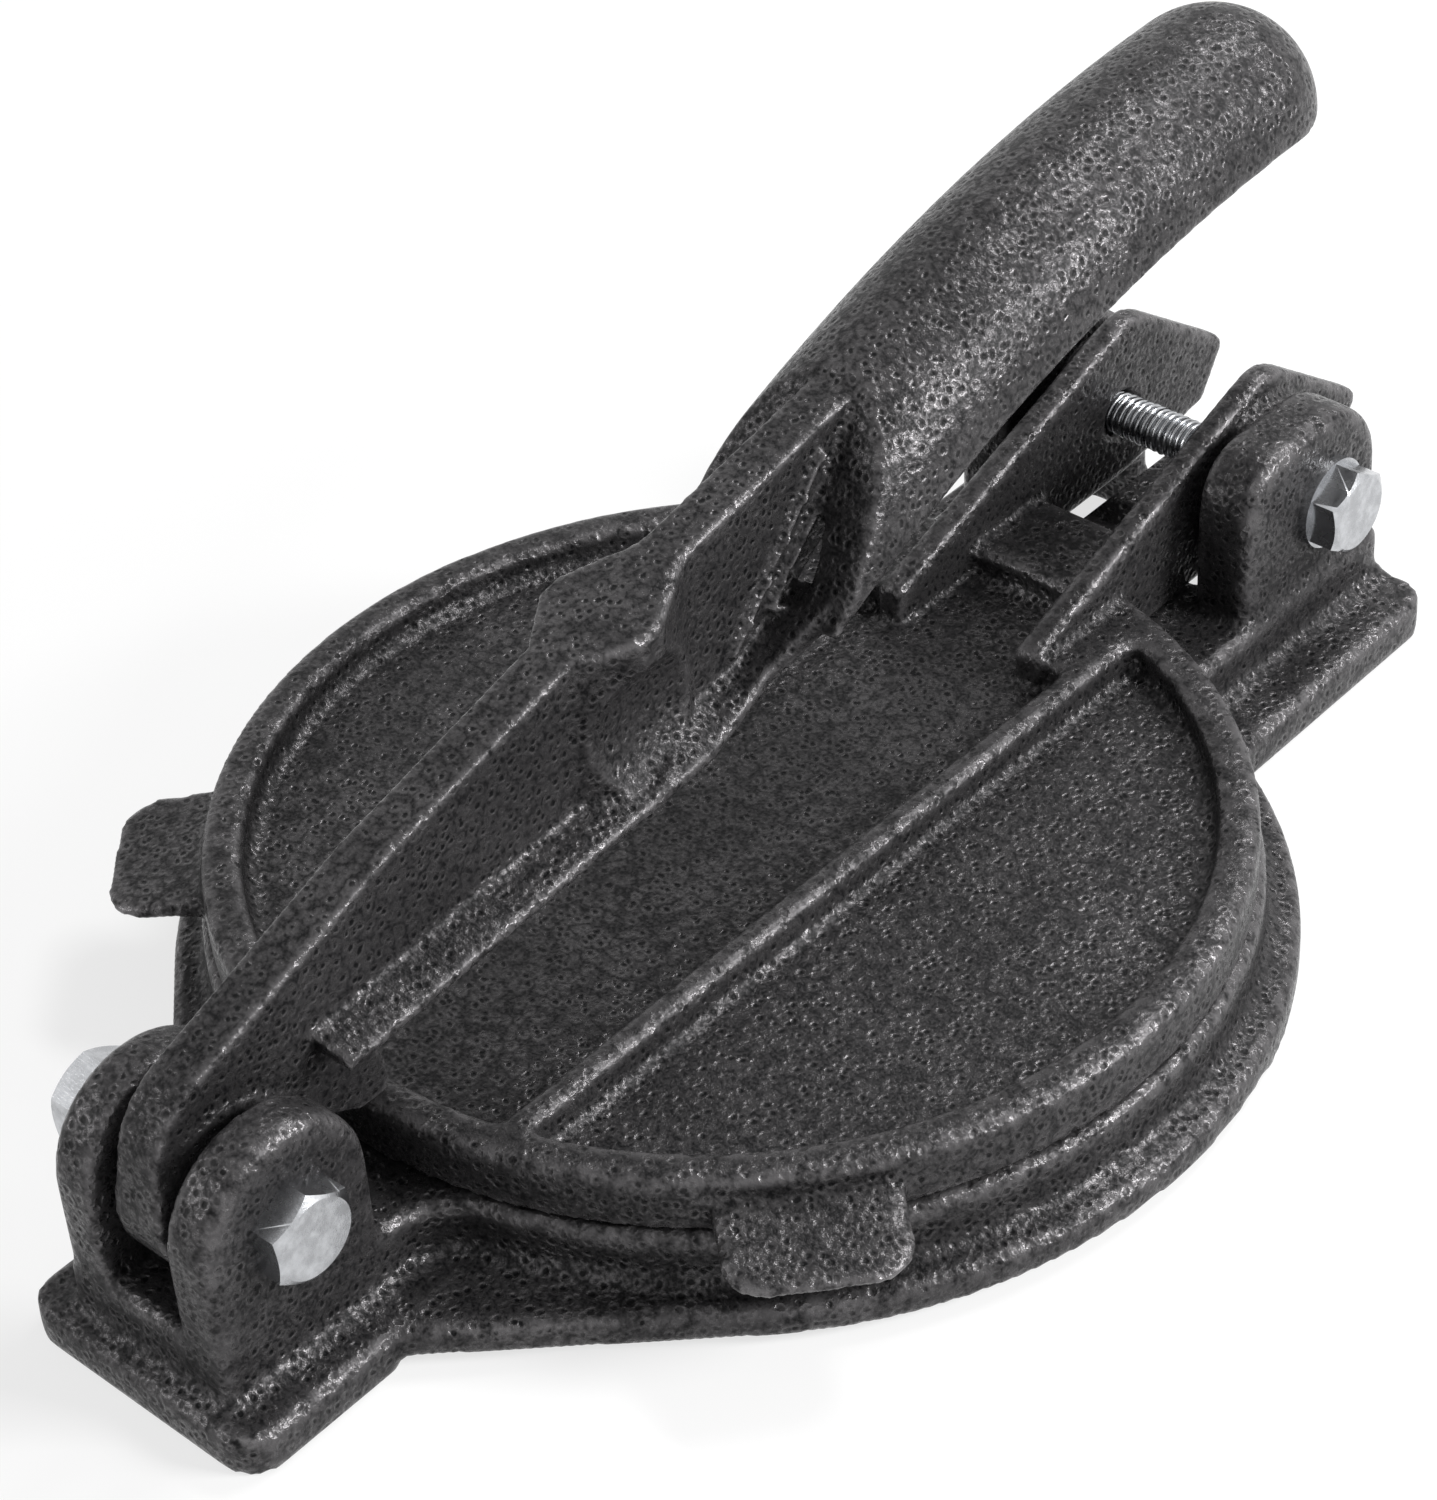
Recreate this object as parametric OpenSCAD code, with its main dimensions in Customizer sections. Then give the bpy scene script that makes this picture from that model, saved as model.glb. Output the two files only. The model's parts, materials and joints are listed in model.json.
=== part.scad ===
// Tortilla press: a cast base, a hinged top plate and a swing-over lever.
// Y runs from the lever clevis (front, -Y) to the plate hinge (rear, +Y), Z is up.
// The origin lies on the table, under the middle of the whole press. The modules measure
// Y from the centre of the round plates, and placed() moves each finished piece along Y.

/* [Pressing plates] */
// Diameter of the top plate
plate_d = 204; // [180:1:230]
// Thickness of the top plate's floor
plate_floor_t = 5.5; // [4:0.5:8]
// Height of the top plate's rim above its flat underside
plate_rim_h = 12; // [10:0.5:16]
// Width of the rim, seen from above
plate_rim_w = 8; // [6:0.5:12]
// Gap between the pressing faces when closed
plate_gap = 0.3; // [0.2:0.1:1]
// Distance from the midplane to the outer edge of each stiffening rib
rib_x = 31; // [28:0.5:36]
// Width of each stiffening rib
rib_w = 5; // [4:0.5:8]
// Angle of each lifting tab, forward of the side
tab_angle = 41; // [34:1:50]
// How far each lifting tab stands out from the rim
tab_reach = 18.5; // [14:0.5:24]
// Width of each lifting tab where it meets the rim
tab_w = 34; // [26:1:40]
// Thickness of each lifting tab
tab_t = 4.5; // [4:0.5:7]
// Height of each lifting tab's underside above the plate's underside
tab_rise = 2; // [1:0.5:3]

/* [Base] */
// Height of the base from the ground to the pressing face
base_h = 20.5; // [18:0.5:26]
// Height of the skirt that stands on the table
skirt_h = 9; // [7:0.5:12]
// Width of the ledge between skirt and platform around the disc
ledge_w = 7; // [5:0.5:10]
// How far the platform stands out past the plate
platform_lip = 1.5; // [1:0.5:3]
// Wall thickness of the hollow casting
base_wall = 5; // [4:0.5:7]
// Relief of the skirt between the feet
foot_relief = 1.8; // [1:0.1:2.5]
// Radius of the cast fillet at the foot of the platform wall
cast_r = 3; // [2:0.5:4]
// Radius of the platform's wall where it meets the clevis and the hinge
wall_sweep = 13; // [8:1:18]

/* [Lever clevis] */
// Distance from the plate centre to the lever pivot
pivot_y = 134.5; // [128:0.5:150]
// Height of the lever pivot above the ground
pivot_z = 39.5; // [36:0.5:46]
// Radius of the clevis ears
ear_r = 19.5; // [17:0.5:22]
// Thickness of each clevis ear
ear_t = 10.5; // [8:0.5:14]
// Width of the slot between the clevis ears
slot_w = 19; // [16:0.5:24]
// Width of the ledge beside the clevis
front_side_ledge = 10; // [6:0.5:14]
// Distance from the lever pivot back to where the skirt starts to widen
neck_lead = 11.5; // [8:0.5:14]
// Width of the ledge in front of the clevis
front_ledge = 5.3; // [4:0.1:8]

/* [Plate hinge] */
// Distance from the plate centre to the hinge axis
hinge_y = 145.5; // [140:0.5:160]
// Height of the hinge axis above the ground
hinge_z = 38; // [36:0.5:44]
// Radius of the round rear end of the hinge ears
hinge_ear_r = 19.5; // [18:0.5:22]
// Radius of the front shoulder of the hinge ears
hinge_shoulder_r = 12; // [8:0.5:14]
// Distance from the hinge axis to the front edge of the hinge ears
hinge_ear_lead = 27.5; // [25:0.5:32]
// Thickness of each hinge ear
hinge_ear_t = 13.5; // [10:0.5:16]
// How far the platform stands out past each hinge ear
hinge_ear_step = 1.5; // [1:0.5:4]
// Width of the rear ledge beside the platform
rear_side_ledge = 13.5; // [10:0.5:22]

/* [Hinge arms] */
// Distance from the midplane to the inner face of each arm
arm_inner_x = 14.5; // [12:0.5:18]
// Thickness of each arm
arm_t = 6; // [5:0.5:8]
// Distance from the plate centre to the front end of each arm
arm_front_y = 70; // [60:1:76]
// Height of the arm's front end above the rim
arm_nose_h = 2; // [1:0.5:4]
// Height of the arm's crest above the hinge axis
arm_crest = 22; // [20:0.5:26]
// Radius of the arm's crest
crest_r = 12; // [6:0.5:14]
// Reach of the arm's tail behind the hinge axis
arm_tail = 37.3; // [34:0.1:37.5]
// How far the boss on each arm stands out
boss_t = 3.5; // [2:0.5:5]
// How far the bridge between the arms runs back from the rim
bridge_len = 15; // [8:1:20]
// Radius of the round hub of each arm
hub_r = 16.8; // [14:0.2:17]
// Side play between arm boss and hinge ear
hinge_play = 0.5; // [0.3:0.1:1]

/* [Lever] */
// Thickness of the lever's web
web_t = 10; // [8:0.5:12]
// Radius of the lever's eye
eye_r = 17; // [14:0.5:18]
// Thickness of the lever's eye
eye_t = 12; // [10:0.5:15]
// Height of the top of the lever's round shoulder above the pivot
shoulder_h = 27; // [24:0.5:30]
// Radius of the lever's round shoulder
shoulder_r = 18; // [14:0.5:20]
// Height of the underside of the bottom flange above the pivot, at its front end
flange_h = 14; // [12:0.5:16]
// Width of the bottom flange
flange_w = 28; // [22:1:34]
// Thickness of the bottom flange
flange_t = 4.5; // [3.5:0.5:6]
// Half width of the swelling on top of the web
pad_half_w = 12.5; // [10:0.5:17]
// Gap between the lever's heel and the rim of the top plate
heel_gap = 0.3; // [0.3:0.1:1]

/* [Handle] */
// Width of the handle
grip_w = 43; // [36:1:48]
// Height of the straight sides below the handle's round top
grip_side = 1; // [0.5:0.5:5]
// Wall thickness of the handle shell
grip_wall = 5; // [4:0.5:7]
// Width of the rim round the handle's front mouth
mouth_wall = 10; // [7:0.5:12]
// Radius of the handle's long curve, along its crest
grip_bend_r = 360; // [320:5:500]
// Slope of the handle at its middle
grip_slope = 9.5; // [8:0.5:12]
// Distance from the plate centre to the middle of the handle
grip_mid_y = 103.5; // [95:0.5:112]
// Height of the handle's crest at its middle
grip_mid_z = 130; // [126:0.5:136]
// Distance from the plate centre to the handle's tip
grip_tip_y = 175; // [165:1:190]
// Slope of the handle's front mouth
mouth_slope = 52; // [46:1:58]

/* [Fasteners] */
// Diameter of the two bolts
bolt_d = 10; // [8:0.5:12]
// Width of the bolt heads and nuts across their flats
hex_af = 17; // [15:0.5:19]
// Height of the bolt heads
head_h = 6.4; // [5:0.1:8]
// Height of the hinge nut
nut_h = 8; // [6:0.5:10]
// Height of the lever's lock nut
lock_nut_h = 10; // [8:0.5:12]
// Outer diameter of the washers
washer_d = 20; // [18:0.5:24]
// Thickness of the washers
washer_t = 2; // [1.5:0.1:2.5]
// Radial play of each bolt in its bores
bore_play = 0.08; // [0.05:0.01:0.1]
// Radial play of each bolt in the washers and ears
free_play = 0.25; // [0.15:0.05:0.4]

/* [Hidden] */
$fn = 96;
eps = 0.02;
bite = 0.01;
iron = "dimgray";
zinc = "lightsteelblue";

// Edge radii of the castings
skirt_round = 2;
ear_round = 3;
rim_round = 1.5;
corner_r = 8;
tab_r = 8;
tab_fall = 3;
arm_r = 1.5;
rib_draft = 1;
fill_step = 0.5;

// Plates
plate_r = plate_d / 2;
plate_z = base_h + plate_gap;
floor_z = plate_z + plate_floor_t;
rim_z = plate_z + plate_rim_h;
rim_in_r = plate_r - plate_rim_w;
rib_in_x = rib_x - rib_w;

// Base
platform_r = plate_r + platform_lip;
skirt_r = platform_r + ledge_w;
front_half = slot_w / 2 + ear_t;
front_y = pivot_y + ear_r;
arm_out_x = arm_inner_x + arm_t;
boss_x = arm_out_x + boss_t;
ear_in_x = boss_x + hinge_play;
ear_out_x = ear_in_x + hinge_ear_t;
rear_half = ear_out_x + hinge_ear_step;
rear_y = hinge_y + hinge_ear_r;
rear_ledge = 1;
span = 2 * (rear_y + skirt_r);
slot_play = 1;
foot_front_y = 124;
foot_rear_y = 30;
tail_slot = 20.5;

// Hinge arms
arm_crest_y = 3;
tail_back = 4.8;
tail_drop = 10.3;

// Lever
eye = [-pivot_y, pivot_z];
hinge = [hinge_y, hinge_z];
bend_y = grip_mid_y + grip_bend_r * sin(grip_slope);
bend_z = grip_mid_z - grip_bend_r * cos(grip_slope);
grip_half = grip_w / 2;
grip_h = grip_half + grip_side;
shoulder_back = 2.5;
heel_w = 7;
knee_y = -92;
pad_y = -45;
pad_end_y = -12;
throat_y = -24;
web_mid_y = 18;
mouth_y = 38;
mouth_len = 7;
grip_front_y = -31;
knee_z = pivot_z + 43;
pad_z = pivot_z + 55.2;
pad_rise = 6;
bolt_proud = 2;
hex_face = 0.5;
hex_flank = 1.6;
web_end_y = 92;
flange_z = pivot_z + flange_h;
flange_slope = 4.6;
flange_front_y = -112;

// Tangent points of the outer tangent of two circles, on one side of the line of centres
function tangent(c1, r1, c2, r2, side) =
    let (d = norm(c2 - c1),
         a = atan2(c2[1] - c1[1], c2[0] - c1[0]),
         b = side * acos((r1 - r2) / d),
         n = [cos(a + b), sin(a + b)])
    [c1 + r1 * n, c2 + r2 * n];

// Two discs joined by their outer tangents, which bite a little into both discs
module link(c1, r1, c2, r2) {
    left = tangent(c1, r1 - bite, c2, r2 - bite, 1);
    right = tangent(c1, r1 - bite, c2, r2 - bite, -1);
    translate(c1) circle(r1);
    translate(c2) circle(r2);
    polygon([left[0], left[1], right[1], right[0]]);
}

// Extrudes a profile drawn in Y and Z over the thickness t, from x0 towards +X
module along_x(x0, t) {
    translate([x0, 0, 0]) rotate([90, 0, 90]) linear_extrude(t) children();
}

// Extrudes a profile drawn in X and Z from y0 to y1
module along_y(y0, y1) {
    translate([0, y1, 0]) rotate([90, 0, 0]) linear_extrude(y1 - y0) children();
}

// Angle on the handle's curve, back from its crest, at y
function bend_angle(y) = asin((bend_y - y) / grip_bend_r);

// Rearmost point of the handle's domed end, whose sides tip with the slope of the handle there
grip_tip = bend_angle(grip_tip_y - grip_half);
grip_end = bend_y - (grip_bend_r - grip_half) * sin(grip_tip)
    + max(grip_half, grip_half * cos(grip_tip) + grip_side * sin(grip_tip));

// Middle of the press between the front of the skirt and its rearmost point
front_end = front_y + front_ledge;
rear_end = max(hinge_y + arm_tail, grip_end, rear_y + rear_ledge);
middle_y = (rear_end - front_end) / 2;

// Moves a piece from the plates' centre to the middle of the press
module placed() {
    translate([0, -middle_y, 0]) children();
}

// A child and its mirror image across the midplane
module both_sides() {
    children();
    mirror([1, 0, 0]) children();
}

// A rectangle in the first quadrant whose far corner is rounded
module round_corner(u, v, r) {
    square([u - r, v]);
    square([u, v - r]);
    translate([u - r, v - r]) circle(r);
}

// Half section of a platform on a skirt, with the cast fillet between them
module step_section(half, ledge) {
    round_corner(half + ledge, skirt_h, skirt_round);
    round_corner(half, base_h, rim_round);
    difference() {
        square([half + cast_r, skirt_h + cast_r]);
        translate([half + cast_r, skirt_h + cast_r]) circle(cast_r);
    }
}

// A rectangular platform on its skirt, centred on the origin
module step_block(hx, lx, hy, ly) {
    intersection() {
        along_y(-hy - ly, hy + ly) {
            step_section(hx, lx);
            mirror([1, 0]) step_section(hx, lx);
        }
        along_x(-hx - lx, 2 * (hx + lx)) {
            step_section(hy, ly);
            mirror([1, 0]) step_section(hy, ly);
        }
        linear_extrude(base_h) {
            square([2 * (hx + lx - corner_r), 2 * (hy + ly)], center = true);
            square([2 * (hx + lx), 2 * (hy + ly - corner_r)], center = true);
            for (i = [-1, 1], j = [-1, 1])
                translate([i * (hx + lx - corner_r), j * (hy + ly - corner_r)]) circle(corner_r);
        }
    }
}

// Fills the corner between a disc of radius r and a straight side at x = h with the radius f
module corner_fill(r, h, f) {
    c = [h + f - bite, sqrt(pow(r + f - bite, 2) - pow(h + f - bite, 2))];
    difference() {
        polygon([[0, 0], c * r / (r + f), c, [h, c[1]], [0, c[1]]]);
        translate(c) circle(f);
    }
}

// Straight flank of the skirt, from the clevis block to where it touches the round skirt
module skirt_neck() {
    neck = [front_half + front_side_ledge, pivot_y - neck_lead];
    touch = tangent([0, 0], skirt_r - bite, neck, eps, -1);
    polygon([[0, 0], touch[0], touch[1], [0, neck[1]]]);
}

// An ear that stands on the base: a round end about the axis and a round shoulder in front
module ear(x0, t, axis, r, lead, shoulder_r) {
    shoulder = axis + [shoulder_r - lead, r - shoulder_r];
    foot = skirt_h;
    translate([x0, 0, 0]) {
        translate([0, axis[0], axis[1]]) rotate([0, 90, 0]) rotate_extrude()
            round_corner(r, t, ear_round);
        translate([0, shoulder[0], shoulder[1]]) rotate([0, 90, 0]) rotate_extrude()
            round_corner(shoulder_r, t, ear_round);
        if (shoulder[0] < axis[0])
            along_y(shoulder[0], axis[0]) translate([0, foot])
                round_corner(t, axis[1] + r - foot, ear_round);
        translate([0, axis[0], foot]) linear_extrude(axis[1] - foot)
            round_corner(t, r, ear_round);
        translate([0, shoulder[0], foot]) linear_extrude(shoulder[1] - foot)
            mirror([0, 1]) round_corner(t, shoulder_r, ear_round);
    }
}

// A bore along X through both sides
module cross_bore(axis, r) {
    translate([-span / 2, axis[0], axis[1]]) rotate([0, 90, 0]) cylinder(h = span, r = r);
}

module base_outline() {
    rotate_extrude() step_section(platform_r, ledge_w);
    intersection() {
        step_block(front_half, front_side_ledge, front_y, front_ledge);
        translate([-span / 2, -span, 0]) cube([span, span, base_h]);
    }
    intersection() {
        step_block(rear_half, rear_side_ledge, rear_y, rear_ledge);
        translate([-span / 2, 0, 0]) cube([span, span, base_h]);
    }
    both_sides() {
        mirror([0, 1, 0]) {
            linear_extrude(skirt_h - fill_step) skirt_neck();
            linear_extrude(base_h - fill_step) corner_fill(platform_r, front_half, wall_sweep);
        }
        linear_extrude(skirt_h - fill_step)
            corner_fill(skirt_r, rear_half + rear_side_ledge, corner_r);
        linear_extrude(base_h - fill_step) corner_fill(platform_r, rear_half, wall_sweep);
    }
}

// Hollow under the casting, one wall thickness inside the platform
module underside() {
    depth = base_h - base_wall;
    front_in = front_half - base_wall / 2;
    rear_in = rear_half - base_wall;
    difference() {
        union() {
            cylinder(h = depth, r = platform_r - base_wall);
            translate([-front_in, -front_y + base_wall, 0])
                cube([2 * front_in, front_y - base_wall, depth]);
            translate([-rear_in, 0, 0]) cube([2 * rear_in, rear_y - base_wall, depth]);
        }
        both_sides() translate([rib_in_x, -skirt_r, foot_relief])
            cube([rib_w, 2 * skirt_r, base_h]);
    }
    // Relief of the skirt between the front foot and the rear foot
    translate([-span / 2, -foot_front_y, -eps])
        cube([span, foot_front_y + foot_rear_y, foot_relief + eps]);
}

module base() {
    color(iron) placed() difference() {
        union() {
            difference() {
                base_outline();
                underside();
            }
            both_sides() {
                ear(slot_w / 2, ear_t, eye, ear_r, ear_r, ear_r);
                ear(ear_in_x, hinge_ear_t, hinge, hinge_ear_r, hinge_ear_lead, hinge_shoulder_r);
            }
        }
        // Slots that let the tails of the arms swing down
        both_sides() translate([arm_inner_x - slot_play, hinge_y - tail_slot, -eps])
            cube([arm_t + 2 * slot_play, span, base_h + 2 * eps]);
        cross_bore(eye, bolt_d / 2 + bore_play);
        cross_bore(hinge, bolt_d / 2 + bore_play);
    }
}

// Plan of one lifting tab, pointing along +X from the plate's centre
module tab_plan() {
    tip = plate_r + tab_reach - tab_r;
    side = tab_w / 2 - tab_r;
    for (i = [-1, 1]) translate([tip, i * side]) circle(tab_r);
    translate([rim_in_r, -tab_w / 2]) square([tip - rim_in_r, tab_w]);
    translate([rim_in_r, -side]) square([plate_r + tab_reach - rim_in_r, 2 * side]);
}

module tab() {
    under = plate_z + tab_rise;
    intersection() {
        translate([0, 0, under]) linear_extrude(tab_t) tab_plan();
        along_y(-tab_w, tab_w) polygon([
            [rim_in_r, under], [plate_r + tab_reach, under],
            [plate_r + tab_reach, under + tab_t - tab_fall],
            [plate_r, under + tab_t], [rim_in_r, under + tab_t]]);
    }
}

// Side view of one hinge arm with its crest, tail and hub
module arm_profile() {
    nose = [arm_front_y + arm_r, rim_z + arm_nose_h - arm_r];
    crest = hinge + [arm_crest_y, arm_crest - crest_r];
    tail = hinge + [arm_tail - 2 * arm_r, -arm_r];
    heel = tail - [tail_back, tail_drop];
    link(nose, arm_r, crest, crest_r);
    link(crest, crest_r, tail, 2 * arm_r);
    link(tail, 2 * arm_r, heel, arm_r);
    link(heel, arm_r, hinge, hub_r);
    polygon([[arm_front_y, plate_z + eps], [arm_front_y, nose[1]], nose, crest, tail, heel,
             hinge, [hinge_y, hinge_z - hub_r], [plate_r, hinge_z - hub_r], [plate_r, plate_z + eps]]);
}

module top_plate() {
    color(iron) placed() difference() {
        union() {
            rotate_extrude() difference() {
                translate([0, plate_z]) round_corner(plate_r, plate_rim_h, rim_round);
                translate([0, floor_z]) difference() {
                    square([rim_in_r, plate_rim_h]);
                    difference() {
                        translate([rim_in_r - cast_r, 0]) square(cast_r);
                        translate([rim_in_r - cast_r, cast_r]) circle(cast_r);
                    }
                }
            }
            intersection() {
                translate([0, 0, plate_z]) cylinder(h = plate_rim_h, r = plate_r - rim_round);
                both_sides() {
                    along_y(-plate_r, plate_r) polygon([
                        [rib_in_x - rib_draft, floor_z - 1], [rib_x + rib_draft, floor_z - 1],
                        [rib_x, rim_z], [rib_in_x, rim_z]]);
                    translate([arm_inner_x, arm_front_y + 2, floor_z - 1])
                        cube([rib_x - arm_inner_x, plate_r, rim_z - floor_z + 1]);
                }
            }
            // Bridge between the arms, behind the rim
            translate([-arm_out_x, rim_in_r, plate_z])
                cube([2 * arm_out_x, plate_r + bridge_len - rim_in_r, plate_rim_h]);
            both_sides() {
                along_x(arm_inner_x, arm_t) arm_profile();
                along_x(arm_inner_x, arm_t + boss_t) translate(hinge) circle(hub_r);
                rotate(-tab_angle) tab();
            }
        }
        cross_bore(hinge, bolt_d / 2 + bore_play);
    }
}

// Height of the arc with radius r about the handle's centre of curvature, at y
function bend(r, y) = bend_z + sqrt(pow(r, 2) - pow(bend_y - y, 2));

// Height of the underside of the bottom flange at y
function flange_under(y) = flange_z + (y - flange_front_y) * tan(flange_slope);

// Side view of the lever's web: eye, shoulder, heel and the run up into the handle
module web_profile() {
    shoulder = eye + [shoulder_back, shoulder_h - shoulder_r];
    knee = [knee_y, knee_z];
    heel_z = rim_z + heel_gap;
    heel_y = -plate_r + rim_round - 3;
    roof = grip_bend_r - grip_wall / 2;
    front = tangent(eye, eye_r, shoulder, shoulder_r, 1);
    top = tangent(shoulder, shoulder_r, knee, eps, 1);
    translate(eye) circle(eye_r);
    translate(shoulder) circle(shoulder_r);
    polygon([
        front[1], front[0], eye, eye + [eye_r - 1, 2], [heel_y, heel_z], [heel_y + heel_w, heel_z],
        [heel_y + heel_w, heel_z + heel_w], [flange_front_y + 10, flange_z + 1],
        [throat_y, flange_under(throat_y)], [web_mid_y, bend(grip_bend_r - grip_h + 5, web_mid_y)],
        for (y = [web_end_y:-12:mouth_y]) [y, bend(roof, y)],
        [pad_y, pad_z], top[1], top[0], shoulder]);
}

// Arch section of the handle: distance from the centre of curvature, and across
module arch(r, half, drop) {
    intersection() {
        translate([r - half, 0]) circle(half);
        translate([r - half, -half]) square([half, 2 * half]);
    }
    translate([r - drop, -half]) square([drop - half, 2 * half]);
}

// A quarter round of radius r that stands on a post of the height drop - r
module dome(r, drop) {
    rotate_extrude() intersection() {
        circle(r);
        square(r);
    }
    translate([0, 0, r - drop]) cylinder(h = drop - r, r = r);
}

// Handle shell: an arch in section with a domed end, open below and at its slanted mouth
module grip() {
    front = bend_angle(grip_front_y);
    rim = bend_angle(mouth_y + mouth_len);
    inner = grip_half - grip_wall;
    difference() {
        translate([0, bend_y, bend_z]) {
            rotate([0, 90, 0]) rotate([0, 0, 180 + grip_tip])
                rotate_extrude(angle = rim - grip_tip) difference() {
                    arch(grip_bend_r, grip_half, grip_h);
                    arch(grip_bend_r - grip_wall, inner, grip_h);
                }
            rotate([0, 90, 0]) rotate([0, 0, 180 + rim])
                rotate_extrude(angle = front - rim) difference() {
                    arch(grip_bend_r, grip_half, grip_h);
                    arch(grip_bend_r - mouth_wall, grip_half - mouth_wall, grip_h);
                }
            rotate([grip_tip, 0, 0]) translate([0, 0, grip_bend_r - grip_half]) difference() {
                dome(grip_half, grip_h);
                dome(inner, grip_h);
                translate([-inner, -grip_h, -grip_h]) cube([2 * inner, grip_h, grip_h]);
                translate([-span / 2, -span, -span / 2]) cube(span);
            }
        }
        translate([0, mouth_y, bend(grip_bend_r, mouth_y)]) rotate([mouth_slope, 0, 0])
            translate([-span / 2, -span / 2, 0]) cube(span);
        // Nothing of the shell hangs below the bottom flange
        translate([0, flange_front_y, flange_z]) rotate([flange_slope, 0, 0])
            translate([-span / 2, 0, -span]) cube(span);
    }
}

// Bottom flange of the lever, thinner towards its edges and widening up to the handle
module flange() {
    half = flange_w / 2;
    len = throat_y - flange_front_y;
    translate([0, flange_front_y, flange_z]) rotate([flange_slope, 0, 0]) difference() {
        along_y(0, len + 8) polygon([
            [-half, 0], [half, 0], [half, flange_t / 2], [web_t / 2, flange_t],
            [-web_t / 2, flange_t], [-half, flange_t / 2]]);
        // Slanted front corners
        both_sides() translate([web_t / 2, 0, -flange_t]) rotate([0, 0, -50])
            translate([0, -half, 0]) cube([2 * half, half, 3 * flange_t]);
    }
}

// Swelling on the web that the thumb rests on
module pad() {
    intersection() {
        along_x(-pad_half_w, 2 * pad_half_w) polygon([
            [pad_y, flange_under(pad_y)], [pad_end_y, flange_under(pad_end_y) + flange_t],
            [pad_end_y, pad_z + pad_rise], [pad_y, pad_z]]);
        translate([0, 0, flange_z]) linear_extrude(pad_z) polygon([
            [web_t / 2 - 1, pad_y], [pad_half_w, pad_y + 13], [pad_half_w, pad_y + 18],
            [web_t / 2, pad_end_y], [-web_t / 2, pad_end_y], [-pad_half_w, pad_y + 18],
            [-pad_half_w, pad_y + 13], [1 - web_t / 2, pad_y]]);
    }
}

module lever() {
    color(iron) placed() difference() {
        union() {
            along_x(-web_t / 2, web_t) web_profile();
            along_x(-eye_t / 2, eye_t) translate(eye) circle(eye_r);
            flange();
            pad();
            grip();
        }
        cross_bore(eye, bolt_d / 2 + bore_play);
    }
}

// A hexagon bolt along X whose head sits outside x = seat
module hex_bolt(axis, seat, grip_len) {
    translate([seat, axis[0], axis[1]]) rotate([0, 90, 0]) {
        translate([0, 0, -grip_len]) cylinder(h = grip_len + 1, r = bolt_d / 2);
        intersection() {
            cylinder(h = head_h, r = hex_af / sqrt(3), $fn = 6);
            cylinder(h = head_h, r1 = hex_af / 2 + head_h * hex_flank, r2 = hex_af / 2 - hex_face);
        }
    }
}

// A hexagon nut of the height h along X that sits outside x = -seat
module hex_nut(axis, seat, h) {
    translate([-seat - h, axis[0], axis[1]]) rotate([0, 90, 0]) difference() {
        intersection() {
            cylinder(h = h, r = hex_af / sqrt(3), $fn = 6);
            cylinder(h = h, r1 = hex_af / 2 - hex_face, r2 = hex_af / 2 + h * hex_flank);
        }
        translate([0, 0, -1]) cylinder(h = h + 2, r = bolt_d / 2 + bore_play);
    }
}

// A washer along X that starts at x0
module washer(axis, x0) {
    translate([x0, axis[0], axis[1]]) rotate([0, 90, 0]) difference() {
        cylinder(h = washer_t, r = washer_d / 2);
        translate([0, 0, -1]) cylinder(h = washer_t + 2, r = bolt_d / 2 + free_play);
    }
}

module lever_bolt() {
    color(zinc) placed()
        hex_bolt(eye, front_half, 2 * front_half + washer_t + lock_nut_h + bolt_proud);
}

module lever_washer() {
    color(zinc) placed() washer(eye, -front_half - washer_t);
}

module lever_nut() {
    color(zinc) placed() hex_nut(eye, front_half + washer_t, lock_nut_h);
}

module hinge_bolt() {
    color(zinc) placed()
        hex_bolt(hinge, ear_out_x + washer_t, 2 * ear_out_x + washer_t + nut_h + bolt_proud);
}

module hinge_washer() {
    color(zinc) placed() washer(hinge, ear_out_x);
}

module hinge_nut() {
    color(zinc) placed() hex_nut(hinge, ear_out_x, nut_h);
}

base();
top_plate();
lever();
lever_bolt();
lever_washer();
lever_nut();
hinge_bolt();
hinge_washer();
hinge_nut();
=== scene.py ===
"""Dresses the tortilla press: hammertone castings, zinc-plated bolts and a studio stage."""

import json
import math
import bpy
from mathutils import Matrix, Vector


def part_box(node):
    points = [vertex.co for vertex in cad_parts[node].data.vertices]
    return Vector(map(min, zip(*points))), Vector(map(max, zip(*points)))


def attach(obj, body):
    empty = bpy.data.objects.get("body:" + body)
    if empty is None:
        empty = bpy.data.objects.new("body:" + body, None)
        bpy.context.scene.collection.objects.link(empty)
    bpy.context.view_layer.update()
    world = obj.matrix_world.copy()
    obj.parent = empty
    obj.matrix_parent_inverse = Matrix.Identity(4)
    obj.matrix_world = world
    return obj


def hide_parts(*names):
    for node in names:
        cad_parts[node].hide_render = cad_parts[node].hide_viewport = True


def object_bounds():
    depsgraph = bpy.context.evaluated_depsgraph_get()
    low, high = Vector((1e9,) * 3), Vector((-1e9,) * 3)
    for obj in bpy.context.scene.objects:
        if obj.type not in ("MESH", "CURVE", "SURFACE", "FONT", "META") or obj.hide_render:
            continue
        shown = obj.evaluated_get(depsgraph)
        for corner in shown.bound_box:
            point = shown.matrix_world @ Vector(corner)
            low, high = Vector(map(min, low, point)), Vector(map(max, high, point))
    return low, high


bl_info = {
    "name": "Tortilla Press Finisher",
    "version": (1, 0, 0),
    "blender": (4, 5, 0),
    "location": "View3D > Sidebar > Tortilla Press",
    "description": "Finishes the castings, bolts and stage of a tortilla press",
    "category": "Object",
}

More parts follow.
